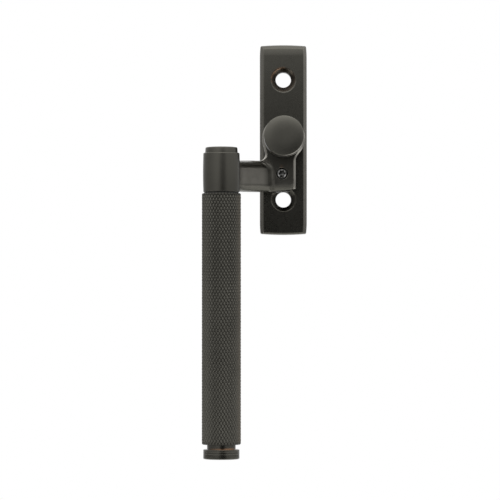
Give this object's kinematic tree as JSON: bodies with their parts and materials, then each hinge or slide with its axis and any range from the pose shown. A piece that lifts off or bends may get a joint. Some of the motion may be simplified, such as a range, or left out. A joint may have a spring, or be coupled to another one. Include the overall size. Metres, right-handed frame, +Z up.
{
  "type": "cranked espagnolette window handle",
  "caption": "Left-handed cranked window handle: bevelled back plate, round pivot knob, locking neck, offset arm, knurled grip and square spindle.",
  "frame": {"origin": "on the pivot axis in the plane of the back plate's back face, midway between the two fixing holes", "axes": "+Z up the plate, +X to the right seen from inside the room, +Y into the window along the spindle"},
  "size_m": [0.037, 0.0797, 0.1465],
  "materials": {
    "aged_bronze_plate": "satin aged bronze",
    "aged_bronze_casting": "satin aged bronze",
    "aged_bronze_turned": "satin aged bronze",
    "aged_bronze_knurl": "knurled aged bronze",
    "dark_spacer": "matt",
    "nylon": "matt",
    "washer_steel": "zinc plated",
    "spindle_steel": "zinc plated",
    "spring_steel": "phosphated",
    "screw_steel": "blackened"
  },
  "bodies": {
    "plate": {"back_plate": "aged_bronze_plate", "pivot_bush": "nylon", "thrust_washer": "washer_steel"},
    "handle": {"crank": "aged_bronze_casting", "pivot_knob": "aged_bronze_turned", "spindle": "spindle_steel", "spindle_pin": "aged_bronze_turned", "disc_spring": "spring_steel", "retaining_ring": "spring_steel", "collar_cap": "aged_bronze_turned", "spacer_ring": "dark_spacer", "grip_rod": "spindle_steel", "grip_sleeve": "aged_bronze_knurl", "end_cap": "aged_bronze_turned"},
    "lock": {"lock_screw": "screw_steel"}
  },
  "joints": [
    {"name": "handle_turn", "type": "hinge", "parent": "plate", "child": "handle", "pos_m": [0, 0, 0], "axis": [0, 1, 0], "range_deg": [0, 90]},
    {"name": "lock_travel", "type": "slide", "parent": "handle", "child": "lock", "axis": [0, 1, 0], "range_m": [0, 0.003]}
  ]
}
